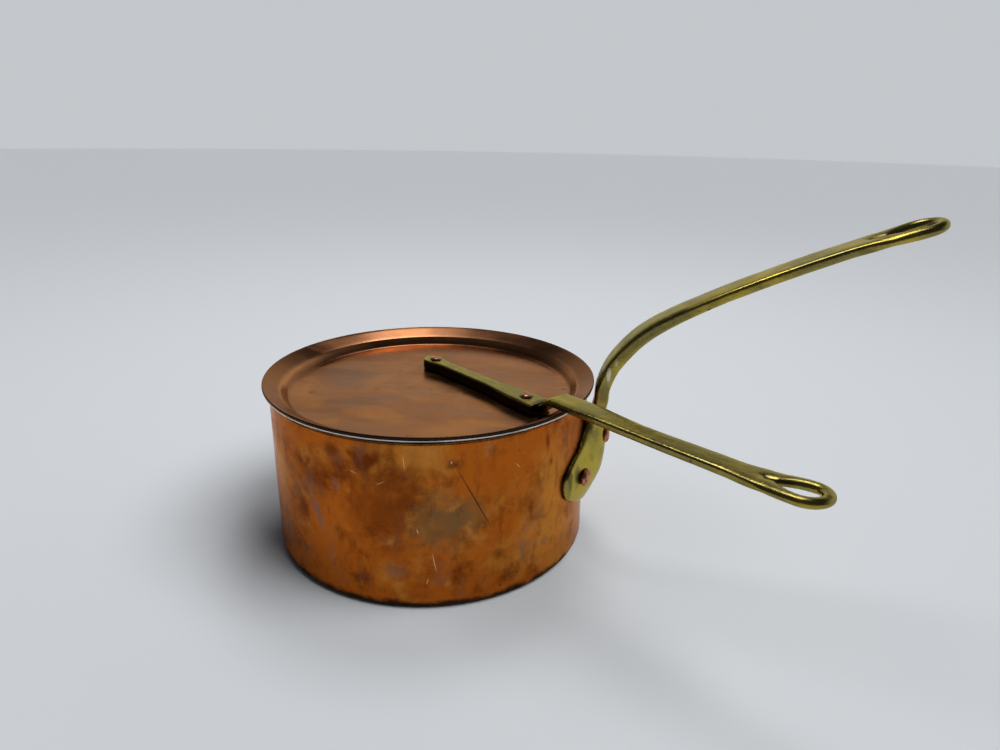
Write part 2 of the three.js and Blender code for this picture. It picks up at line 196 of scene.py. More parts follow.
def on_wall(tree, place, azimuth, height, across, up, lean=0.0, **more):
    """A spot on the pan's wall: its degrees round from the handle, height, size and degrees of lean."""
    a = math.radians(azimuth)
    centre = (PAN_RADIUS * math.cos(a), PAN_RADIUS * math.sin(a), height)
    return spot(tree, place, centre, (6, across, up), (math.radians(lean), 0, a), **more)


def polished(tree, shader, patches, shiny, dull, soot_and_shade=None):
    """A roughness that goes from shiny to dull with a cloudy pattern, and beyond dull over soot_and_shade,
    the base's band of soot and painted contact shade.
    """
    satin = wired(tree, "ShaderNodeMapRange", {"Value": patches, "To Min": shiny, "To Max": dull})
    roughness = satin.outputs["Result"]
    if soot_and_shade is not None:
        rougher = wired(tree, "ShaderNodeMath", {0: times(tree, soot_and_shade, 0.35), 1: roughness}, operation="ADD")
        roughness = rougher.outputs["Value"]
    tree.links.new(roughness, shader.inputs["Roughness"])


def grained(tree, shader, pattern, strength, depth):
    """Fine relief on a metal's skin, from a pattern, up to so many millimetres deep."""
    relief = wired(tree, "ShaderNodeBump", {"Height": pattern, "Strength": strength, "Distance": depth * MM})
    tree.links.new(relief.outputs["Normal"], shader.inputs["Normal"])


inner = PAN_RADIUS - WALL
shell = turned(rounded([
    (0, 0, 0), (PAN_RADIUS, 0, BASE_ROUND), (PAN_RADIUS, PAN_HEIGHT, LIP_ROUND),
    (inner, PAN_HEIGHT, LIP_ROUND), (inner, FLOOR, BASE_ROUND - WALL), (0, FLOOR, 0)]))
for v in shell.verts:
    wall_share = min(max((v.co.z / MM - BASE_ROUND) / STEADY_HEIGHT, 0), 1)
    if v.co.xy.length > (PAN_RADIUS - 1) * MM:
        waves = noise.noise(v.co / (WAVE_SIZE * MM)) * WAVE_DEPTH
        blows = noise.noise(v.co / (HAMMER_SIZE * MM)) * HAMMER_DEPTH
        swing = waves + blows - WAVE_DEPTH - HAMMER_DEPTH
        v.co += v.co.xy.to_3d().normalized() * swing * wall_share * MM

ORANGE_COPPER = (0.44, 0.108, 0.010)
OCHRE_COPPER = (0.56, 0.215, 0.032)
BROWN_COPPER = (0.15, 0.030, 0.005)
PLUM_COPPER = (0.24, 0.115, 0.075)
OLIVE_STAIN = (0.13, 0.095, 0.04)
BRIGHT_PATCH = (0.62, 0.24, 0.045)
SOOT_AND_SHADE = (0.012, 0.009, 0.008)
BRIGHT_SCRATCH = (0.95, 0.55, 0.33)
WALL_SCRATCHES = [    # degrees round, height, half width, half length, lean
    (-84.6, 81.5, 0.28, 5.5, 6), (-76.0, 27.5, 0.30, 7.0, 10), (-81.0, 45.0, 0.35, 2.0, 15),
    (-78.2, 16.6, 0.35, 2.4, -20), (-70.4, 81.2, 0.6, 0.8, 0), (-92.0, 70.0, 0.18, 3.5, -62),
    (-48.5, 74.0, 0.25, 3.0, 40), (-101.0, 74.0, 0.2, 3.0, 70), (30.0, 55.0, 0.2, 9.0, 12),
    (118.0, 40.0, 0.2, 12.0, -24), (165.0, 60.0, 0.22, 8.0, 35), (80.0, 66.0, 0.2, 7.0, 8),
]
WALL_STAINS_AND_REFLECTIONS = [       # degrees round, height, half width, half height, lean, colour, strength
    # The first three are painted reflections: ochre on the wall's two flanks for the pale room beside it,
    # brown on its face towards the dim side of the room.
    (-142.0, 58.0, 22.0, 34.0, 0, OCHRE_COPPER, 0.8), (-33.0, 56.0, 24.0, 36.0, 0, OCHRE_COPPER, 0.8),
    (-90.0, 58.0, 44.0, 38.0, 0, BROWN_COPPER, 0.72),
    (-118.0, 68.0, 20.0, 24.0, 12, BROWN_COPPER, 0.6),
    (-73.5, 50.0, 29, 24, 0, OLIVE_STAIN, 0.62), (-66.0, 52.0, 13, 16, 0, OLIVE_STAIN, 0.5),
    (-115.6, 45.0, 3.6, 13.0, 17, PLUM_COPPER, 0.85),
    (-107.6, 65.0, 3.0, 5.0, 10, PLUM_COPPER, 0.7), (-109.0, 83.0, 9.0, 6.0, 0, BROWN_COPPER, 0.8),
    (-69.5, 80.0, 6.0, 3.6, 0, SOOT_AND_SHADE, 0.6), (-36.3, 82.0, 2.4, 8.0, 6, BROWN_COPPER, 0.85),
    (-34.0, 69.5, 2.6, 3.4, 0, BROWN_COPPER, 0.7), (-36.0, 24.0, 3.5, 4.5, -20, PLUM_COPPER, 0.6),
    (-55.0, 27.0, 5.0, 4.5, 0, BROWN_COPPER, 0.7), (-88.0, 22.0, 9.0, 7.0, 0, PLUM_COPPER, 0.5),
    (-84.0, 62.0, 12.0, 9.0, 20, BROWN_COPPER, 0.5), (-135.0, 25.0, 6.0, 12.0, 8, PLUM_COPPER, 0.6),
    (64.0, 46.0, 16.0, 13.0, 30, OLIVE_STAIN, 0.6), (140.0, 62.0, 12.0, 8.0, -15, PLUM_COPPER, 0.6),
    (-170.0, 38.0, 8.0, 16.0, 10, BROWN_COPPER, 0.6), (100.0, 22.0, 14.0, 8.0, 0, BROWN_COPPER, 0.6),
]

pan_copper, tree, shader, place = metal("aged_pan_copper")
height = wired(tree, "ShaderNodeSeparateXYZ", {"Vector": place}).outputs["Z"]
colour = painted(tree, ORANGE_COPPER, OCHRE_COPPER, clouds(tree, place, 52, 0.50, 0.74, warp=0.4))
colour = painted(tree, colour, BROWN_COPPER, clouds(tree, place, 22, 0.48, 0.70, detail=10, warp=0.2))
plum = clouds(tree, squeezed(tree, place, stretch=(1.3, 1.3, 0.8)), 19, 0.54, 0.76, detail=6)
colour = painted(tree, colour, PLUM_COPPER, times(tree, plum, 0.75))
for azimuth, up, across, tall, lean, mark_colour, strength in WALL_STAINS_AND_REFLECTIONS:
    cover = on_wall(tree, place, azimuth, up, across, tall, lean, soft=0.9, ragged=1.0)
    colour = painted(tree, colour, mark_colour, times(tree, cover, strength))
rubbed = clouds(tree, squeezed(tree, place, stretch=(1, 1, 0.4)), 5, 0.50, 0.72, detail=6)
colour = painted(tree, colour, BROWN_COPPER, times(tree, rubbed, 0.45))
glow = clouds(tree, place, 12, 0.54, 0.74, detail=9, warp=0.15)
colour = painted(tree, colour, BRIGHT_PATCH, times(tree, glow, 0.55))
long_mark = on_wall(tree, place, -63.2, 60.5, 0.5, 27.0, 26.7, soft=0.7)
colour = painted(tree, colour, SOOT_AND_SHADE, times(tree, long_mark, 0.75))
for azimuth, up, across, tall, lean in WALL_SCRATCHES:
    cover = on_wall(tree, place, azimuth, up, across, tall, lean, soft=0.8)
    colour = painted(tree, colour, BRIGHT_SCRATCH, times(tree, cover, 0.75))
pits = clouds(tree, place, 3.2, 0.70, 0.76, detail=2)
colour = painted(tree, colour, SOOT_AND_SHADE, times(tree, pits, 0.55))
# A black band round the base: soot, and painted contact shade where the rounded corner meets the cloth.
# Clouds make its top edge ragged.
dark_band_edge = times(tree, clouds(tree, place, 9, 0.3, 0.7), 2.5 * MM)
ragged_height = wired(tree, "ShaderNodeMath", {0: dark_band_edge, 1: height}, operation="ADD").outputs["Value"]
soot_and_contact_shade = between(tree, ragged_height, 7.6 * MM, 3.8 * MM)
colour = painted(tree, colour, SOOT_AND_SHADE, times(tree, soot_and_contact_shade, 0.93))
tree.links.new(colour, shader.inputs["Base Color"])
polished(tree, shader, clouds(tree, place, 24, 0.35, 0.7, detail=6), 0.22, 0.38, soot_and_contact_shade)
polish = clouds(tree, squeezed(tree, place, stretch=(1, 1, 3)), 1.6, 0.3, 0.7, detail=6)
grained(tree, shader, polish, 0.10, 0.3)

pan_shell = finished(shell, "copper_pan", pan_copper)
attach(pan_shell, "pan")
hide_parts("pan_shell")


# ---- The tin inside the pan: wiped over the hot copper with a rag ----
# A thin grey coat over the floor and wall. It stays a little cloudy, with round wipe marks on the floor
# and darker rubbed patches where spoons have worn it.
FIT = 0.3                            # hair's breadth kept between two pieces that lie together
TIN = 0.5
TIN_LIP = 0.15                       # rounding of the tin's upper edge
TIN_ROUND = BASE_ROUND - WALL
LINING_TOP = PAN_HEIGHT - 0.4
lining_out = inner - FIT
lining_in = lining_out - TIN
lining_floor = FLOOR + FIT
tin_coat = turned(rounded([
    (0, lining_floor, 0), (lining_out, lining_floor, TIN_ROUND), (lining_out, LINING_TOP, TIN_LIP),
    (lining_in, LINING_TOP, TIN_LIP), (lining_in, lining_floor + TIN, TIN_ROUND),
    (0, lining_floor + TIN, 0)]))

WIPED_TIN = (0.72, 0.71, 0.67)
WORN_TIN = (0.40, 0.385, 0.35)
BARE_PATCH = (0.42, 0.27, 0.19)


def tinned(name):
    """Wiped tin: cloudy grey, rubbed dull in patches, with a little copper showing through."""
    made, tree, shader, place = metal(name, edge=(0.9, 0.9, 0.9))
    colour = painted(tree, WIPED_TIN, WORN_TIN, clouds(tree, place, 26, 0.40, 0.72, detail=7, warp=0.6))
    bare = clouds(tree, place, 17, 0.64, 0.78, detail=5)
    colour = painted(tree, colour, BARE_PATCH, times(tree, bare, 0.5))
    turned_place = wired(tree, "ShaderNodeVectorMath", {0: place}, operation="LENGTH").outputs["Value"]
    rings = wired(tree, "ShaderNodeTexNoise", {
        "W": turned_place, "Scale": 900.0, "Detail": 3.0}, noise_dimensions="1D").outputs["Fac"]
    colour = painted(tree, colour, WORN_TIN, times(tree, between(tree, rings, 0.45, 0.75), 0.35))
    tree.links.new(colour, shader.inputs["Base Color"])
    polished(tree, shader, clouds(tree, place, 14, 0.3, 0.7, detail=5), 0.30, 0.50)
    grained(tree, shader, rings, 0.15, 0.2)
    return made


wiped_tin = tinned("wiped_tin")
pan_lining = finished(tin_coat, "pan_tin", wiped_tin)
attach(pan_lining, "pan")
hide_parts("pan_tin_lining")


# ---- The pan's handle: one brass casting, filed and polished ----
# A wide curved foot is riveted to the wall. From it a neck rises past the lid, bends over and runs out as a
# long bar with a crowned face, which opens at its end into the loop that the pan hangs by.
FOOT_BACK = PAN_RADIUS + FIT
FOOT_EDGE = 2.2
FOOT_LIP = 0.5
FOOT_ROUNDING = 2.4
ACROSS_POINTS = 48                   # points round half of a bar's section
FOOT_OUTLINE = [                     # half width and height, from the bottom up into the neck
    (-12.9, 30), (0, 29), (12.9, 30), (27, 34), (38.7, 40.5), (43, 48.5), (40.9, 55.5), (32.7, 61),
    (22.8, 65), (14.8, 70), (11, 75), (9.6, 80), (9.0, 88), (9.0, 92)]
FOOT_CREST = [(29, 2.2), (31, 3.5), (36.7, 6.6), (44.9, 9.9), (53.3, 11.2), (60, 11.4), (74, 10.8), (81, 10)]
FOOT_SPREAD = [(29, 30), (52, 28), (62, 20), (72, 14)]       # height, how far round the crest's swell reaches
GRIP_LINE = [                        # distance from the pan's axis and height of the bar's middle
    (95, 58), (97.5, 72), (97.8, 86), (98.8, 96), (104.6, 109.4), (117.4, 124.6), (135.7, 137.2),
    (168, 153.8), (212, 173), (258, 190)]
LOOP_WIDTH = 26
HOLE_LENGTH = 21
HOLE_WIDTH = 12
LOOP_END = 6                         # metal left past the hole


def evenly(line, count):
    """So many points evenly spaced along a line."""
    run = np.concatenate([[0], np.cumsum(np.linalg.norm(np.diff(line, axis=0), axis=1))])
    at = np.linspace(0, run[-1], count)
    return np.stack([np.interp(at, run, line[:, k]) for k in range(line.shape[1])], 1)


def smooth_line(points, count):
    """So many points evenly spaced on a smooth line through the given ones."""
    p = np.array(points, float)
    p = np.vstack([2 * p[0] - p[1], p, 2 * p[-1] - p[-2]])
    t = np.linspace(0, 1, 30, endpoint=False)[:, None]
    bends = [
        p[i] + (p[i + 1] - p[i - 1]) * t / 2
        + (p[i - 1] - 2.5 * p[i] + 2 * p[i + 1] - p[i + 2] / 2) * t ** 2
        + (1.5 * (p[i] - p[i + 1]) + (p[i + 2] - p[i - 1]) / 2) * t ** 3
        for i in range(1, len(p) - 2)]
    return evenly(np.vstack([*bends, p[-2]]), count)


def eased(x, places):
    """A size at x that changes smoothly between the given (place, size) pairs."""
    at, size = np.array(places, float).T
    k = int(np.clip(np.searchsorted(at, x) - 1, 0, len(at) - 2))
    t = np.clip((x - at[k]) / (at[k + 1] - at[k]), 0, 1)
    return size[k] + (size[k + 1] - size[k]) * t * t * (3 - 2 * t)


def bar_section(width, thick, crown, belly, parted=0.0):
    """Half of a bar's section, from the middle of its face round its side to the middle of its back. Crown
    and belly are how square its face and back are. Where a hole parts the bar, it is one arm's section."""
    angle = np.linspace(0, math.pi, 361)
    power = np.where(angle < math.pi / 2, 2 / crown, 2 / belly)
    rise = np.sign(np.cos(angle)) * np.abs(np.cos(angle)) ** power
    whole = np.stack([np.sin(angle) ** power * width, rise * thick / 2], 1)
    whole = evenly(whole, ACROSS_POINTS + 1) / (width, thick / 2)
    round_arm = np.linspace(0, 2 * math.pi, ACROSS_POINTS + 1)
    arm = np.stack([0.5 - 0.5 * np.cos(round_arm), np.sin(round_arm)], 1)
    return whole * (1 - parted) + arm * parted


def loop_lines(hole_start, tip, side_at, loop_width, hole_length, hole_width):
    """Where the bar parts into a loop: the hole's edge and the outer edge as (along, across), in pairs from
    the hole's start round to the tip."""
    loop, bore = loop_width / 2, hole_width / 2
    middle, hole_end = tip - loop, hole_start + hole_length
    t = np.linspace(0, 1, 26)[:, None]
    start = np.array([hole_start, 0])
    bend = np.array([hole_start + 0.38 * hole_length, bore])
    wide = np.array([hole_end - bore, bore])
    hole_side = start * (1 - t) ** 2 + 2 * bend * t * (1 - t) + wide * t ** 2
    x = np.linspace(hole_start, middle, 26)
    outer_side = np.stack([x, [side_at(v) for v in x]], 1)
    turn = np.linspace(math.pi / 2, 0, 22)[1:, None]
    hole_round = np.hstack([hole_end - bore + bore * np.cos(turn), bore * np.sin(turn)])
    outer_round = np.hstack([middle + loop * np.cos(turn), loop * np.sin(turn)])
    return np.vstack([hole_side, hole_round]), np.vstack([outer_side, outer_round])


def cast(rows):
    """A bar as a closed body: each row of points is half of one section, and the other half mirrors it."""
    made = bmesh.new()
    for side in (1, -1):
        skin = [[made.verts.new((x * MM, y * side * MM, z * MM)) for x, y, z in row] for row in rows]
        for row, following in zip(skin, skin[1:]):
            for a, b, c, d in zip(row, row[1:], following[1:], following):
                made.faces.new((a, b, c, d))
    bmesh.ops.remove_doubles(made, verts=made.verts, dist=0.004 * MM)
    bmesh.ops.dissolve_degenerate(made, edges=made.edges, dist=0.002 * MM)
    return made


def dented(made, depth, size, seed):
    """Moves the skin in and out along itself by up to depth, in dents of that size, both in millimetres."""
    made.normal_update()
    for v in made.verts:
        v.co += v.normal * noise.noise(v.co / (size * MM) + Vector((seed, 0, 0))) * depth * MM


# The foot, row by row, each row a level section wrapped round the wall.
outline = smooth_line(FOOT_OUTLINE, 150)
outline = outline[outline[:, 0] > 0.02]
crest_line = smooth_line(FOOT_CREST, 80)


def foot_row(half_width, z):
    """One level row of the foot: from its crest out to its edge, and back along the wall."""
    slope = np.gradient(outline[:, 0], outline[:, 1])[np.abs(outline[:, 1] - z).argmin()]
    s = np.linspace(0, half_width, 90)
    from_edge = (half_width - s) / math.hypot(1, slope)
    rounding = np.sqrt(1 - (1 - np.clip(from_edge / FOOT_ROUNDING, 0, 1)) ** 2)
    edge = FOOT_LIP + (FOOT_EDGE - FOOT_LIP) * rounding
    crest = np.interp(z, crest_line[:, 0], crest_line[:, 1]) - FOOT_EDGE
    spread = eased(z, FOOT_SPREAD)
    front = edge + crest * np.exp(-(s / spread) ** 2) * (1 - (s / half_width) ** 2)
    section = np.vstack([np.stack([np.zeros_like(s), s], 1), np.stack([front, s], 1)[::-1]])
    section = evenly(section, ACROSS_POINTS + 1)
    radius, round_wall = FOOT_BACK + section[:, 0], section[:, 1] / FOOT_BACK
    return np.stack([radius * np.cos(round_wall), radius * np.sin(round_wall), np.full(len(section), z)], 1)


# The bar, in its own length along its middle line.
grip = smooth_line(GRIP_LINE, 600)
grip_length = np.linalg.norm(np.diff(grip, axis=0), axis=1).sum()
grip_place = np.linspace(0, grip_length, len(grip))
grip_heading = np.gradient(grip, axis=0)
grip_heading /= np.linalg.norm(grip_heading, axis=1)[:, None]
loop_middle = grip_length - LOOP_WIDTH / 2
GRIP_WIDTHS = [(0, 20), (28, 18), (70, 19), (loop_middle - 36, 18.5), (loop_middle, LOOP_WIDTH)]
GRIP_THICKNESS = [(0, 5.2), (28, 8.1), (52, 8.2), (125, 5.9), (loop_middle, 5.5)]
GRIP_CROWN = 4.2
GRIP_BELLY = 5.0
GROOVE = 13                          # length of the groove that leads into the hole
NECK_START = 68                      # heights between which the foot turns into the bar
NECK_END = 88


def grip_row(inner_place, outer_place, parted=0.0):
    """One section of the bar, from its middle or the hole's edge to its outer edge, as (along, across)."""
    along, across = np.array(outer_place)
    thick = eased(along, GRIP_THICKNESS)
    out, up = bar_section(max(across, 2.0), thick, GRIP_CROWN, GRIP_BELLY, parted).T
    flat = np.outer(1 - out, inner_place) + np.outer(out, outer_place)
    middle = np.stack([np.interp(flat[:, 0], grip_place, grip[:, k]) for k in (0, 1)], 1)
    heading = np.stack([np.interp(flat[:, 0], grip_place, grip_heading[:, k]) for k in (0, 1)], 1)
    r = middle[:, 0] - heading[:, 1] * up * thick / 2
    z = middle[:, 1] + heading[:, 0] * up * thick / 2
    return np.stack([r, flat[:, 1], z], 1)


rows = []
for half_width, z in outline[outline[:, 1] < NECK_END]:
    foot = foot_row(half_width, z)
    along = np.interp(z, grip[:, 1], grip_place)
    bar = grip_row((along, 0), (along, eased(along, GRIP_WIDTHS) / 2)) if z > NECK_START else foot
    rows.append(foot + (bar - foot) * eased(z, [(NECK_START, 0), (NECK_END, 1)]))
hole_start = grip_length - LOOP_END - HOLE_LENGTH
neck_place = np.interp(NECK_END, grip[:, 1], grip_place)
for along in np.arange(neck_place, hole_start - 0.3, 1.2):
    parted = eased(along, [(hole_start - GROOVE, 0), (hole_start, 1)])
    rows.append(grip_row((along, 0), (along, eased(along, GRIP_WIDTHS) / 2), parted))
hole_edge, outer_edge = loop_lines(
    hole_start, grip_length, lambda x: eased(x, GRIP_WIDTHS) / 2, LOOP_WIDTH, HOLE_LENGTH, HOLE_WIDTH)
rows += [grip_row(hole, outer, 1.0) for hole, outer in zip(hole_edge, outer_edge)]
handle = cast(rows)
dented(handle, 0.10, 11, 3)

YELLOW_BRASS = (0.47, 0.36, 0.058)
OLIVE_BRASS = (0.27, 0.225, 0.068)
BROWN_BRASS = (0.15, 0.115, 0.04)
TARNISH = (0.045, 0.036, 0.018)
PALE_WEAR = (0.72, 0.66, 0.50)


def old_brass(name, grain_turn):
    """Old polished brass: yellow where it is rubbed, olive and brown where it is not, with casting pits and
    fine file marks along its length. Returns the shader too, with its colour so far."""
    made, tree, shader, place = metal(name, edge=(0.86, 0.82, 0.62))
    colour = painted(tree, OLIVE_BRASS, YELLOW_BRASS, clouds(tree, place, 30, 0.42, 0.68, detail=5, warp=0.5))
    browned = clouds(tree, place, 13, 0.55, 0.78, detail=7)
    colour = painted(tree, colour, BROWN_BRASS, times(tree, browned, 0.7))
    filed = squeezed(tree, place, grain_turn, (0.06, 1, 1))
    marks = clouds(tree, filed, 1.1, 0.35, 0.7, detail=5)
    colour = painted(tree, colour, BROWN_BRASS, times(tree, marks, 0.25))
    pits = clouds(tree, place, 2.3, 0.71, 0.75, detail=1)
    colour = painted(tree, colour, TARNISH, times(tree, pits, 0.8))
    polished(tree, shader, clouds(tree, place, 16, 0.3, 0.72, detail=6), 0.17, 0.34)
    pitted = wired(tree, "ShaderNodeMath", {0: pits, 1: -1.5, 2: marks}, operation="MULTIPLY_ADD")
    grained(tree, shader, pitted.outputs["Value"], 0.22, 0.12)
    return made, tree, shader, place, colour


handle_brass, tree, shader, place, colour = old_brass("handle_brass", (0, 25, 0))
LOW_RIVET_ANGLE = 16
LOW_RIVET_HEIGHT = 49.5
TOP_RIVET_HEIGHT = 64.5
RIVET_HEAD = 4.9
TOP_RIVET_OUT = 101.5                # distances of the heads from the pan's axis
LOW_RIVET_OUT = 95.5
RIVET_GRIME_AND_SHADE = (6.6, 6.6, 6.6)
# Round each rivet head: grime, and painted shade at the foot of the head.
for out, angle, up in (
        (TOP_RIVET_OUT, 0, TOP_RIVET_HEIGHT),
        (LOW_RIVET_OUT, LOW_RIVET_ANGLE, LOW_RIVET_HEIGHT),
        (LOW_RIVET_OUT, -LOW_RIVET_ANGLE, LOW_RIVET_HEIGHT)):
    centre = (out * math.cos(math.radians(angle)), out * math.sin(math.radians(angle)), up)
    grime_and_shade = spot(tree, place, centre, RIVET_GRIME_AND_SHADE, soft=0.3, ragged=0.3)
    colour = painted(tree, colour, TARNISH, times(tree, grime_and_shade, 0.8))
GRIP_MARKS = [        # place and reach in millimetres, colour, strength
    ((93, -26, 50), (18, 26, 26), YELLOW_BRASS, 0.95),
    ((99, 0, 70), (14, 14, 22), YELLOW_BRASS, 0.8),
    # Painted shade along the foot's edge on the -y side, by its seam with the wall.
    ((82.5, -38, 52), (5, 3, 12), TARNISH, 0.7),
    ((101, -9.2, 103.5), (1.3, 1.2, 4.6), PALE_WEAR, 0.75),
    ((104.5, -9, 110.5), (1.2, 1, 2), PALE_WEAR, 0.5),
    # Painted shade over the foot's flank on that same side.
    ((90, -33, 53), (5, 4.5, 12), BROWN_BRASS, 0.85),
    ((99.5, -9, 92), (3.5, 3, 6), BROWN_BRASS, 0.6),
    ((96, -20, 62), (3, 5, 8), BROWN_BRASS, 0.6),
    ((97.6, -9.4, 59), (0.9, 3, 0.9), TARNISH, 1.0),
    ((150, -9, 142.2), (1.6, 1.2, 0.9), TARNISH, 1.0),
    ((136, -7.5, 139), (9, 2.2, 5), BROWN_BRASS, 0.8),
    ((225, -9, 176), (14, 1.5, 4), BROWN_BRASS, 0.8),
]
for centre, reach, mark, strength in GRIP_MARKS:
    cover = spot(tree, place, centre, reach, ragged=0.9)
    colour = painted(tree, colour, mark, times(tree, cover, strength))
tree.links.new(colour, shader.inputs["Base Color"])

pan_handle = finished(handle, "pan_handle_casting", handle_brass, sharp=60)
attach(pan_handle, "pan")
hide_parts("pan_handle")


# ---- The pan handle's rivets: copper pins hammered over from outside ----
# Each passes through foot, wall and lining. Its head is a low dome, a little flattened by the hammer, and its
# tail is a plain button inside the pan.
RIVET_SHANK = 2.4
RIVET_DOME = 3.0
RIVET_TAIL = 1.6
RIVET_TAIL_FACE = math.sqrt(lining_in ** 2 - RIVET_HEAD ** 2) - FIT
SKIRT_HEIGHT = 0.3                   # the short sloping edge under a rivet's dome
SKIRT_SLOPE = 0.25
PAN_RIVETS = [                       # name, degrees round, height, distance of the head's seat from the axis
    ("top", 0, TOP_RIVET_HEIGHT, 101.0),
    ("left", LOW_RIVET_ANGLE, LOW_RIVET_HEIGHT, 95.16),
    ("right", -LOW_RIVET_ANGLE, LOW_RIVET_HEIGHT, 95.16),
]


def rivet(tail_face, seat_face, shank, head, dome, tail):
    """A rivet standing on its tail: button, shank and domed head."""
    button = [(0, tail_face - tail, 0), (head * 0.86, tail_face - tail, 0.9), (head, tail_face, 0.2)]
    pin = [(shank, tail_face, 0), (shank, seat_face, 0)]
    skirt_top = seat_face + SKIRT_HEIGHT
    skirt = [(head - SKIRT_SLOPE, seat_face), (head, skirt_top)]
    cap = [
        (head * math.cos(t) ** 0.8, skirt_top + (dome - SKIRT_HEIGHT) * math.sin(t) ** 0.9)
        for t in np.linspace(0.12, math.pi / 2, 14)]
    made = turned([*rounded(button + pin, 0.8), *skirt, *cap[:-1], (0, seat_face + dome)], around=48)
    dented(made, 0.12, 3, seat_face)
    return made


RIVET_COPPER = (0.60, 0.27, 0.15)
RIVET_BROWN = (0.22, 0.09, 0.05)
rivet_copper, tree, shader, place = metal("rivet_copper")
colour = painted(tree, RIVET_COPPER, RIVET_BROWN, clouds(tree, place, 5, 0.45, 0.7, detail=6))
colour = painted(tree, colour, TARNISH, times(tree, clouds(tree, place, 1.8, 0.6, 0.75), 0.5))
tree.links.new(colour, shader.inputs["Base Color"])
polished(tree, shader, clouds(tree, place, 2.5, 0.3, 0.7, detail=6), 0.22, 0.42)
hammered = wired(tree, "ShaderNodeTexVoronoi", {"Vector": place, "Scale": 520.0}, feature="SMOOTH_F1")
grained(tree, shader, hammered.outputs["Distance"], 0.25, 0.2)

for name, angle, height, seat in PAN_RIVETS:
    pin = rivet(RIVET_TAIL_FACE, seat, RIVET_SHANK, RIVET_HEAD, RIVET_DOME, RIVET_TAIL)
    outward = Matrix.Rotation(math.radians(angle), 4, "Z") @ Matrix.Rotation(math.pi / 2, 4, "Y")
    pin.transform(Matrix.Translation((0, 0, height * MM)) @ outward)
    hammered_pin = finished(pin, f"handle_rivet_{name}", rivet_copper)
    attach(hammered_pin, "pan")
    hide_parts(f"pan_handle_rivet_{name}")


# ---- The lid: spun from thinner copper ----
# A flat, sunk disc, a step up to a rounded crease, and a flange that slopes up and out over the pan's lip.
# It is duller than the pan, browner, and rubbed grey on one side.
LID_SHEET = 1.3
lid_low, lid_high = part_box("lid_disc")
LID_EDGE = (lid_high.x - lid_low.x) / 2 / MM
FLANGE_WIDTH = 8.7
FLANGE_DROP = 4.6                    # how far the crease lies under the flange's edge
FLANGE_SLOPE = FLANGE_DROP / FLANGE_WIDTH
STEP_WIDTH = 4.1
DISH_DEPTH = 4.7
CREASE = LID_EDGE - FLANGE_WIDTH     # radius of the crease, and of the flat disc inside it
FLAT = CREASE - STEP_WIDTH
lid_edge_top = lid_high.z / MM
CREASE_TOP = lid_edge_top - FLANGE_DROP
FLAT_TOP = CREASE_TOP - DISH_DEPTH
SHEET_DROP = LID_SHEET * math.hypot(1, FLANGE_SLOPE)
STEP_ROUND = 2.2
CREASE_ROUND = 2.0
FLANGE_ROUND = 0.45
BUCKLE_SIZE = 50                     # the disc's slow hand-made unevenness
BUCKLE_DEPTH = 0.22
BUCKLE_EDGE = CREASE - 4             # radius it starts from, and the width over which it grows
BUCKLE_RUN = 12


def lid_line(drop, outer):
    """The lid's face, or a line that lies so far below it, from the middle out."""
    lean = drop * 0.3
    return [
        (0, FLAT_TOP - drop, 0),
        (FLAT - 0.6 + lean, FLAT_TOP - drop, STEP_ROUND),
        (CREASE - 0.9 + lean, CREASE_TOP - drop - 0.1, CREASE_ROUND),
        (outer, lid_edge_top - drop - (LID_EDGE - outer) * FLANGE_SLOPE, FLANGE_ROUND)]


disc = turned(rounded(lid_line(SHEET_DROP, LID_EDGE) + lid_line(0, LID_EDGE)[::-1], step=2.0))
for v in disc.verts:
    radius = v.co.xy.length / MM
    dish_share = min(max((BUCKLE_EDGE - radius) / BUCKLE_RUN, 0), 1)
    v.co.z += noise.noise(v.co / (BUCKLE_SIZE * MM)) * BUCKLE_DEPTH * dish_share * MM

LID_BROWN = (0.36, 0.160, 0.070)
LID_ORANGE = (0.50, 0.210, 0.065)
LID_GREY = (0.24, 0.15, 0.105)
LID_DARK = (0.13, 0.050, 0.024)
lid_copper, tree, shader, place = metal("aged_lid_copper")
wiped = squeezed(tree, place, (0, 0, 20), (0.35, 1, 1))
colour = painted(tree, LID_BROWN, LID_ORANGE, clouds(tree, place, 40, 0.46, 0.70, warp=0.5))
colour = painted(tree, colour, LID_GREY, times(tree, clouds(tree, wiped, 18, 0.50, 0.74, detail=7), 0.75))
colour = painted(tree, colour, LID_DARK, times(tree, clouds(tree, place, 15, 0.58, 0.78, detail=6), 0.6))
LID_MARKS = [         # place and reach in millimetres, turn, colour, strength
    ((-52, 8, 87), (24, 30, 5), 20, LID_GREY, 0.7),
    ((-30, -30, 87), (28, 12, 5), 40, LID_GREY, 0.5),
    ((28, -58, 88), (34, 14, 5), 30, LID_ORANGE, 0.7),
    ((76.3, 8.3, 87), (2.6, 1.2, 3), -10, SOOT_AND_SHADE, 0.75),
    ((21.3, -10.6, 87), (1.5, 2.2, 3), 15, LID_DARK, 0.8),
    ((1.3, -6.4, 87), (1.2, 0.9, 3), 0, SOOT_AND_SHADE, 0.6),
    ((5.7, -10.5, 87), (5.5, 0.35, 3), 12, BRIGHT_SCRATCH, 0.5),
    ((-16, 40, 87), (9, 0.3, 3), 65, BRIGHT_SCRATCH, 0.4),
    ((30, 34, 87), (12, 0.3, 3), -30, BRIGHT_SCRATCH, 0.35),
    ((-40, -52, 87), (8, 0.3, 3), 10, BRIGHT_SCRATCH, 0.35),
]
for centre, reach, turn, mark_colour, strength in LID_MARKS:
    cover = spot(tree, place, centre, reach, math.radians(turn), soft=0.8, ragged=0.5)
    colour = painted(tree, colour, mark_colour, times(tree, cover, strength))
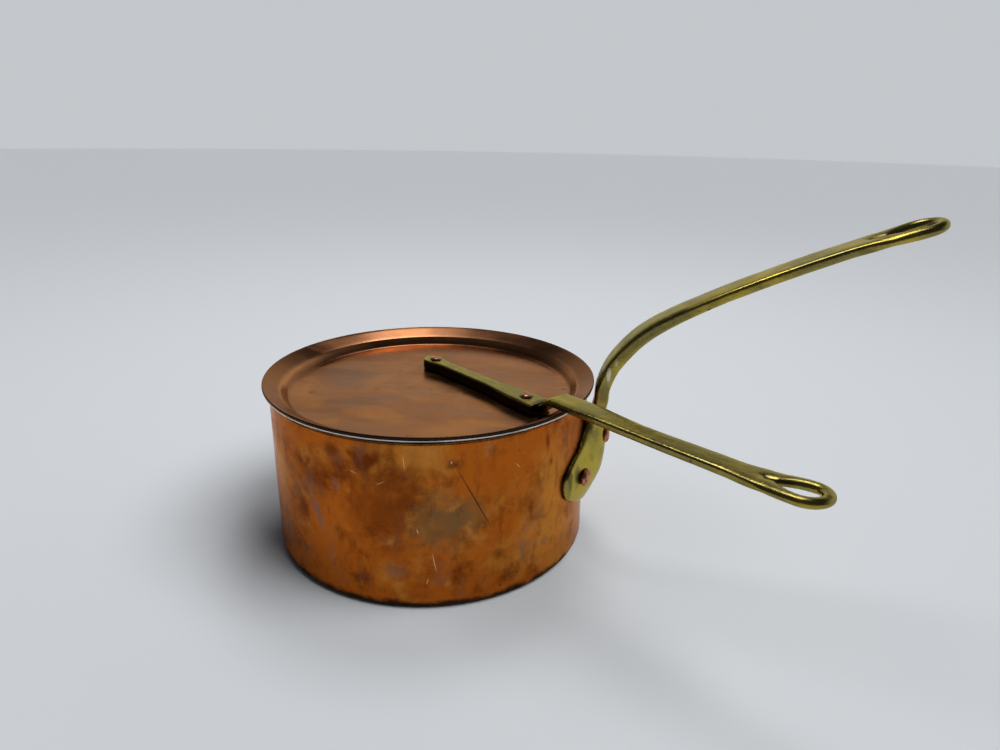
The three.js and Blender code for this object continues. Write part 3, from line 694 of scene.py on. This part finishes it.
flat_place = wired(tree, "ShaderNodeVectorMath", {0: place, 1: (1, 1, 0)}, operation="MULTIPLY")
axis_away = wired(tree, "ShaderNodeVectorMath", {
    0: flat_place.outputs["Vector"]}, operation="LENGTH").outputs["Value"]
# Painted shade: the whole flange is darkened, for the dark ceiling and room that it reflects.
flange = between(tree, axis_away, (CREASE - 2.0) * MM, (CREASE + 1.5) * MM)
colour = painted(tree, colour, LID_DARK, times(tree, flange, 0.7))
# Painted shade: a dark ring along the top of the lid's rounded rim, for the dark room it reflects.
rim_shade = between(tree, axis_away, (LID_EDGE - 0.55) * MM, (LID_EDGE - 0.1) * MM)
colour = painted(tree, colour, SOOT_AND_SHADE, times(tree, rim_shade, 0.9))
# Painted shade in the corner at the foot of the step, all round the flat disc.
step_inner = between(tree, axis_away, (FLAT - 2.5) * MM, FLAT * MM)
step_outer = between(tree, axis_away, (FLAT + 2.2) * MM, (FLAT + 0.6) * MM)
step_shade = times(tree, step_inner, step_outer)
colour = painted(tree, colour, LID_DARK, times(tree, step_shade, 0.6))
tree.links.new(colour, shader.inputs["Base Color"])
polished(tree, shader, clouds(tree, wiped, 20, 0.35, 0.7, detail=6), 0.20, 0.34)
spin_marks = wired(tree, "ShaderNodeTexNoise", {
    "W": axis_away, "Scale": 1400.0, "Detail": 4.0}, noise_dimensions="1D").outputs["Fac"]
grained(tree, shader, spin_marks, 0.08, 0.15)

lid_disc = finished(disc, "copper_lid", lid_copper)
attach(lid_disc, "lid")
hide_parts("lid_disc")


# ---- The tin under the lid ----
# The same wiped tin as the pan's, over the whole under face and out to the flange's edge, where it shows as a
# bright line under the copper.
LID_TIN = 0.4
lid_tin_drop = SHEET_DROP + FIT
LID_TIN_EDGE = LID_EDGE - 0.6
tin_under = lid_line(lid_tin_drop + LID_TIN, LID_TIN_EDGE)
tin_over = lid_line(lid_tin_drop, LID_TIN_EDGE)
under = turned(rounded(tin_under + tin_over[::-1], step=2.0))
lid_tin = tinned("wiped_lid_tin")
lid_lining = finished(under, "lid_tin", lid_tin)
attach(lid_lining, "lid")
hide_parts("lid_tin_lining")


# ---- The lid's handle: a second brass casting ----
# A flat strap lies on the lid, round at one end and square at the other. From its square end a neck climbs
# over the flange into a broad heel, which tapers to a long crowned bar with its own hanging loop.
LID_HANDLE_TURN = math.radians(-40)
LID_HANDLE_OFFSET = 19.2
STRAP_THICK = 6
STRAP_SQUARE = 9                     # how square the strap's section is
strap_top = FLAT_TOP + FIT + STRAP_THICK
STRAP_START = -30
STRAP_END = 71
PAD = 6                              # radius of the round end
pad_middle = STRAP_START + PAD
BAR_TIP = 224.6
BAR_LOOP = 21
BAR_HOLE_LENGTH = 18
BAR_HOLE_WIDTH = 9.6
BAR_LOOP_END = 5.3
BAR_GROOVE = 8
bar_middle = BAR_TIP - BAR_LOOP / 2
BAR_CROWN = 3.8
BACK_SQUARER = 0.5                   # how much squarer the bar's back is than its face
bar_top = lid_edge_top + FIT + 4
flange_cross = math.sqrt(LID_EDGE ** 2 - LID_HANDLE_OFFSET ** 2)
STRAP_SIDES = [
    (pad_middle, PAD), (pad_middle + 13, 4), (pad_middle + 50, 4.3), (STRAP_END - 14, 7), (STRAP_END, 7.5)]
BAR_SIDES = [
    (STRAP_END, 3.4), (STRAP_END + 2, 4.4), (STRAP_END + 13, 7.75), (flange_cross + 4, 7.75),
    (flange_cross + 44, 6.25), (bar_middle - 34, 6.7), (bar_middle, BAR_LOOP / 2)]
BAR_TOPS = [
    (STRAP_END, strap_top - 0.5), (STRAP_END + 0.6, strap_top - 0.3), (STRAP_END + 12, bar_top),
    (flange_cross + 12, bar_top), (flange_cross + 45, bar_top - 0.6), (bar_middle - 30, bar_top),
    (BAR_TIP, bar_top + 2.2)]
BAR_DEPTHS = [(STRAP_END, 4.6), (STRAP_END + 2, 4.6), (flange_cross - 4, 4.2), (BAR_TIP, 4.4)]
BAR_CROWNS = [(STRAP_END, 6), (STRAP_END + 10, BAR_CROWN), (BAR_TIP, BAR_CROWN)]
SQUARE_CORNER = 1.6


def lid_bar_row(inner_place, outer_place, top, thick, crown, belly, parted=0.0):
    """One section of the lid's handle, from its middle or the hole's edge out to its side, hung from top."""
    out, up = bar_section(max(outer_place[1], 1.0), thick, crown, belly, parted).T
    flat = np.outer(1 - out, inner_place) + np.outer(out, outer_place)
    return np.stack([flat[:, 0], flat[:, 1], top - thick / 2 + up * thick / 2], 1)


def strap_row(x, side):
    """One section of the strap, which is as thick all along."""
    return lid_bar_row((x, 0), (x, side), strap_top, STRAP_THICK, STRAP_SQUARE, STRAP_SQUARE)


rows = []
for turn in np.linspace(0.04, math.pi / 2, 12):
    rows.append(strap_row(pad_middle - PAD * math.cos(turn), PAD * math.sin(turn)))
for x in np.linspace(pad_middle, STRAP_END - SQUARE_CORNER, 80)[1:]:
    rows.append(strap_row(x, eased(x, STRAP_SIDES)))
for turn in np.linspace(0, math.pi / 2, 7)[1:]:
    x = STRAP_END - SQUARE_CORNER * (1 - math.sin(turn))
    rows.append(strap_row(x, eased(x, STRAP_SIDES) - SQUARE_CORNER * (1 - math.cos(turn))))
bar_hole_start = BAR_TIP - BAR_LOOP_END - BAR_HOLE_LENGTH
for x in np.arange(STRAP_END + 0.02, bar_hole_start - 0.3, 1.0):
    parted = eased(x, [(bar_hole_start - BAR_GROOVE, 0), (bar_hole_start, 1)])
    crown = eased(x, BAR_CROWNS)
    rows.append(lid_bar_row(
        (x, 0), (x, eased(x, BAR_SIDES)), eased(x, BAR_TOPS), eased(x, BAR_DEPTHS),
        crown, crown + BACK_SQUARER, parted))
hole_edge, outer_edge = loop_lines(
    bar_hole_start, BAR_TIP, lambda x: eased(x, BAR_SIDES), BAR_LOOP, BAR_HOLE_LENGTH, BAR_HOLE_WIDTH)
for hole, outer in zip(hole_edge, outer_edge):
    top, depth = eased(outer[0], BAR_TOPS), eased(outer[0], BAR_DEPTHS)
    rows.append(lid_bar_row(hole, outer, top, depth, BAR_CROWN, BAR_CROWN + BACK_SQUARER, 1.0))
strap_and_bar = cast(rows)
dented(strap_and_bar, 0.08, 9, 5)
onto_lid = Matrix.Rotation(LID_HANDLE_TURN, 4, "Z") @ Matrix.Translation((0, LID_HANDLE_OFFSET * MM, 0))
strap_and_bar.transform(onto_lid)

lid_brass, tree, shader, place, colour = old_brass("lid_handle_brass", (0, 0, 40))
LID_RIVETS = (-21.5, 59.5)           # places along the strap
LID_RIVET_GRIME_AND_SHADE = (4.4, 4.4, 4.4)
# Round each rivet head: grime, and painted shade at the foot of the head.
for x in LID_RIVETS:
    centre = onto_lid @ Vector((x * MM, 0, strap_top * MM)) / MM
    grime_and_shade = spot(tree, place, centre, LID_RIVET_GRIME_AND_SHADE, soft=0.25, ragged=0.2)
    colour = painted(tree, colour, TARNISH, times(tree, grime_and_shade, 0.85))
LID_HANDLE_MARKS = [  # along and across the handle, reach, colour, strength
    (-10, 0, (14, 9, 9), BROWN_BRASS, 0.8),
    (205, 2, (5, 4, 5), TARNISH, 0.45),
    (190, -5, (9, 2, 5), BROWN_BRASS, 0.8),
    (92, -3, (10, 2.4, 5), YELLOW_BRASS, 0.6),
    (58, 0, (12, 9, 5), YELLOW_BRASS, 0.5),
]
for x, y, reach, mark, strength in LID_HANDLE_MARKS:
    centre = onto_lid @ Vector((x * MM, y * MM, bar_top * MM)) / MM
    cover = spot(tree, place, centre, reach, LID_HANDLE_TURN, soft=0.9, ragged=0.8)
    colour = painted(tree, colour, mark, times(tree, cover, strength))
# Darker where polishing never reaches: grime and painted shade on the sides of the strap, and painted shade
# on the neck under the bar.
level = wired(tree, "ShaderNodeSeparateXYZ", {"Vector": place}).outputs["Z"]
on_disc = spot(tree, place, (0, 0, 90), (CREASE, CREASE, 40), soft=0.04)
beside = times(tree, on_disc, between(tree, level, (strap_top - 0.7) * MM, (strap_top - 1.5) * MM))
colour = painted(tree, colour, TARNISH, times(tree, beside, 0.9))
NECK_SHADE_PLACE = 79
NECK_SHADE_DEPTH = 8.2               # under the bar's face
neck = onto_lid @ Vector((NECK_SHADE_PLACE * MM, 0, (bar_top - NECK_SHADE_DEPTH) * MM)) / MM
# Painted shade on the neck, under the bar's face.
neck_shade = spot(tree, place, neck, (13, 13, 6), soft=0.25)
colour = painted(tree, colour, TARNISH, times(tree, neck_shade, 0.92))
tree.links.new(colour, shader.inputs["Base Color"])

lid_handle = finished(strap_and_bar, "lid_handle_casting", lid_brass, sharp=60)
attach(lid_handle, "lid")
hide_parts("lid_handle")


# ---- The lid handle's rivets: two small copper pins ----
# They pass through the strap, the lid and its tin, and are hammered to low domes on top like the pan's. Their
# tails are flat buttons under the lid.
LID_RIVET_SHANK = 1.9
LID_RIVET_HEAD = 3.2
LID_RIVET_DOME = 1.8
LID_RIVET_TAIL = 1.2
LID_RIVET_SEAT = strap_top - 0.2
lid_under = FLAT_TOP - lid_tin_drop - LID_TIN
for name, x in zip(("inner", "outer"), LID_RIVETS):
    pin = rivet(
        lid_under - FIT, LID_RIVET_SEAT, LID_RIVET_SHANK, LID_RIVET_HEAD, LID_RIVET_DOME, LID_RIVET_TAIL)
    pin.transform(onto_lid @ Matrix.Translation((x * MM, 0, 0)))
    hammered_pin = finished(pin, f"lid_rivet_{name}_head", rivet_copper)
    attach(hammered_pin, "lid")
    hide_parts(f"lid_rivet_{name}")


# ---- The table: a plain pale cloth ----
# The cloth is matt and faintly blue, and lies flat. It is only there to stand the pan on.
TABLE_RADIUS = 6.0                   # metres
table = bmesh.new()
bmesh.ops.create_circle(table, cap_ends=True, radius=TABLE_RADIUS, segments=128)
cloth = bpy.data.materials.new("pale_cloth")
cloth.use_nodes = True
weave = cloth.node_tree.nodes["Principled BSDF"]
weave.inputs["Base Color"].default_value = (0.74, 0.77, 0.80, 1)
weave.inputs["Roughness"].default_value = 0.95
weave.inputs["Specular IOR Level"].default_value = 0.1
floor = finished(table, "table_cloth", cloth)
floor.location.z = -0.2 * MM


# ---- The light: soft and from above, in a room that is dim on the near side ----
# Behind the pan and to its right the room is pale, and the ceiling is dark but for one lamp. A wide soft sun
# lights the cloth and the shadows, and the metal doesn't show it. Past the cloth is a plain pale backdrop.
PALE_SIDE = (0.42, 0.90, -0.1)       # towards the pale side of the room
PALE_WALL = (0.72, 0.73, 0.74)
DIM_WALL = (0.065, 0.065, 0.07)
CEILING = (0.045, 0.045, 0.05)
BACKDROP = (0.55, 0.575, 0.60)
world = bpy.data.worlds.new("studio")
bpy.context.scene.world = world
world.use_nodes = True
sky = world.node_tree
looking = sky.nodes.new("ShaderNodeTexCoord").outputs["Generated"]
towards_pale = wired(sky, "ShaderNodeVectorMath", {0: looking, 1: PALE_SIDE}, operation="DOT_PRODUCT")
room = painted(sky, DIM_WALL, PALE_WALL, between(sky, towards_pale.outputs["Value"], -0.15, 0.80))
upwards = wired(sky, "ShaderNodeSeparateXYZ", {"Vector": looking}).outputs["Z"]
room = painted(sky, room, CEILING, between(sky, upwards, 0.42, 0.70))
seen = painted(sky, room, BACKDROP, sky.nodes.new("ShaderNodeLightPath").outputs["Is Camera Ray"])
backdrop = sky.nodes["Background"]
sky.links.new(seen, backdrop.inputs["Color"])
backdrop.inputs["Strength"].default_value = 1.0
bpy.context.scene.view_settings.view_transform = "Standard"

LAMP_PLACE = Vector((0.02, 0.38, 1.05))
lamp = bpy.data.lights.new("lamp_overhead", "AREA")
lamp.shape = "SQUARE"
lamp.size = 0.36
lamp.energy = 2.6
overhead = bpy.data.objects.new("lamp_overhead", lamp)
overhead.location = LAMP_PLACE
overhead.rotation_euler = (Vector((0, 0, 0.05)) - LAMP_PLACE).to_track_quat("-Z", "Y").to_euler()
bpy.context.scene.collection.objects.link(overhead)
sunlight = bpy.data.lights.new("wide_sun", "SUN")
sunlight.energy = 2.0
sunlight.angle = math.radians(40)
sun = bpy.data.objects.new("wide_sun", sunlight)
sun.rotation_euler = Vector((-0.60, 0.12, -1)).to_track_quat("-Z", "Y").to_euler()
sun.visible_glossy = False
bpy.context.scene.collection.objects.link(sun)


# ---- The camera ----
# It stands at the pan's near side, a little towards the handle, and looks slightly down. It is tilted a
# little to one side, as a camera held by hand is.
STAND = (0.09418, -0.37772, 0.23093)
HEADING = math.radians(98.15)
DIP = math.radians(19.48)
TILT = 0.0184
forward = Vector((math.cos(HEADING) * math.cos(DIP), math.sin(HEADING) * math.cos(DIP), -math.sin(DIP)))
level_right = forward.cross(Vector((0, 0, 1))).normalized()
level_up = level_right.cross(forward)
right = level_right * math.cos(TILT) + level_up * math.sin(TILT)
upward = level_up * math.cos(TILT) - level_right * math.sin(TILT)
lens = bpy.data.cameras.new("camera")
lens.sensor_width = 36
lens.lens = 25.605
lens.clip_start = 0.01
camera = bpy.data.objects.new("camera", lens)
facing = Matrix((right, upward, -forward)).transposed()
camera.matrix_world = Matrix.Translation(STAND) @ facing.to_4x4()
bpy.context.scene.collection.objects.link(camera)
bpy.context.scene.camera = camera
